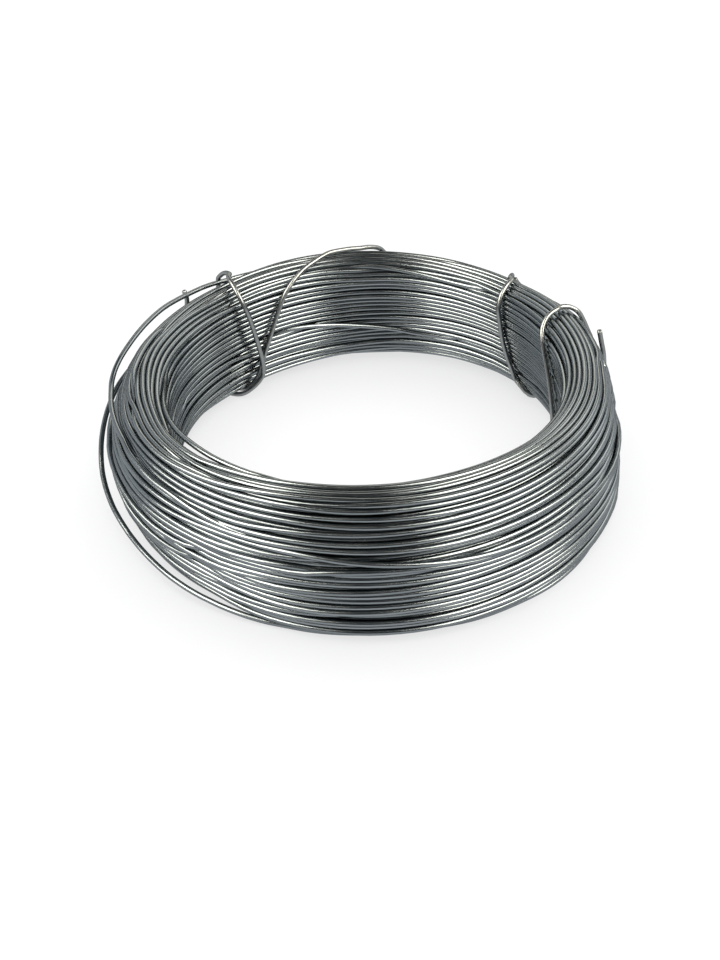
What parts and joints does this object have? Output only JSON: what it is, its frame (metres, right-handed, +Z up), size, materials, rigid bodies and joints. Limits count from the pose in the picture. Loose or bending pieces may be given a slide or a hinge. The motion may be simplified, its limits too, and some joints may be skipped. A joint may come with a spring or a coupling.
{
  "type": "coil of steel wire",
  "caption": "Ring-shaped coil of drawn steel wire lying flat, held by thin tie wires, with loose outer turns springing away from the bundle.",
  "frame": {"origin": "on the coil's axis, at the level of the floor that it lies on", "axes": "+Z up along the coil's axis, +X to the right and +Y to the back as the coil is seen from the front"},
  "size_m": [0.2035, 0.2004, 0.0576],
  "materials": {
    "wound_wire": "bright drawn steel wire with a thin zinc coat, satin along the wire",
    "tie_wire": "bright drawn steel tie wire, a little lighter than the wound wire"
  },
  "bodies": {
    "root": {"wire_coil": "wound_wire", "upper_loose_turn": "wound_wire", "lower_loose_turn": "wound_wire", "left_tie": "tie_wire", "back_tie": "tie_wire", "right_tie": "tie_wire"}
  },
  "joints": []
}
